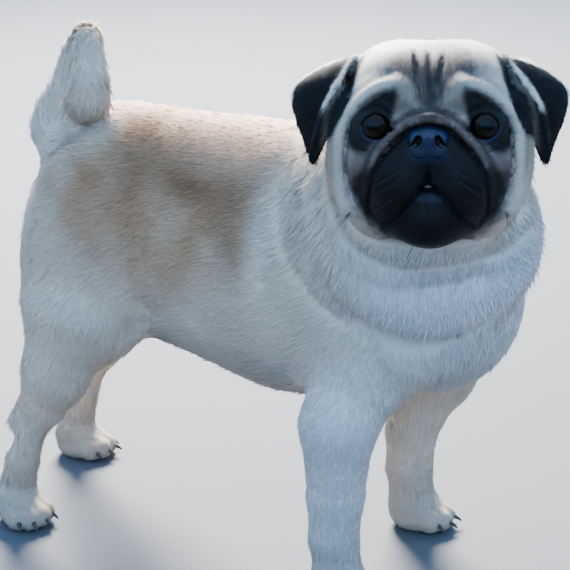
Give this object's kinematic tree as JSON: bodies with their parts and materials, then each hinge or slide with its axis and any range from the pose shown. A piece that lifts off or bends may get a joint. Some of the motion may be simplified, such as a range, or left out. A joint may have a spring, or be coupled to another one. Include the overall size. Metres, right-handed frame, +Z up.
{
  "type": "pug",
  "caption": "Standing pug as a still life-size model: deep barrel body, short legs, tail folded over the hip, wrinkled flat face turned to look back over its right side.",
  "frame": {"origin": "on the floor, under the middle of the bounding box", "axes": "+X from the rump to the chest, +Y to the dog's own left, +Z up; the dog's head is turned towards -Y"},
  "size_m": [0.417, 0.1972, 0.3683],
  "materials": {
    "coat": "short fawn fur, matt, black on the face",
    "ear_velvet": "very short black fur, matt",
    "eye": "wet, dark brown, high gloss",
    "nose_leather": "black, pebbled, moist",
    "tooth": "ivory, glossy",
    "claw_horn": "dark horn, satin"
  },
  "bodies": {
    "root": {"torso": "coat", "neck": "coat", "head": "coat", "ear_left": "ear_velvet", "ear_right": "ear_velvet", "eye_left": "eye", "eye_right": "eye", "nose": "nose_leather", "teeth": "tooth", "leg_fore_left": "coat", "leg_hind_left": "coat", "leg_fore_right": "coat", "leg_hind_right": "coat", "tail": "coat", "claw_fore_left_1": "claw_horn", "claw_fore_left_2": "claw_horn", "claw_fore_left_3": "claw_horn", "claw_fore_left_4": "claw_horn", "claw_hind_left_1": "claw_horn", "claw_hind_left_2": "claw_horn", "claw_hind_left_3": "claw_horn", "claw_hind_left_4": "claw_horn", "claw_fore_right_1": "claw_horn", "claw_fore_right_2": "claw_horn", "claw_fore_right_3": "claw_horn", "claw_fore_right_4": "claw_horn", "claw_hind_right_1": "claw_horn", "claw_hind_right_2": "claw_horn", "claw_hind_right_3": "claw_horn", "claw_hind_right_4": "claw_horn"}
  },
  "joints": []
}
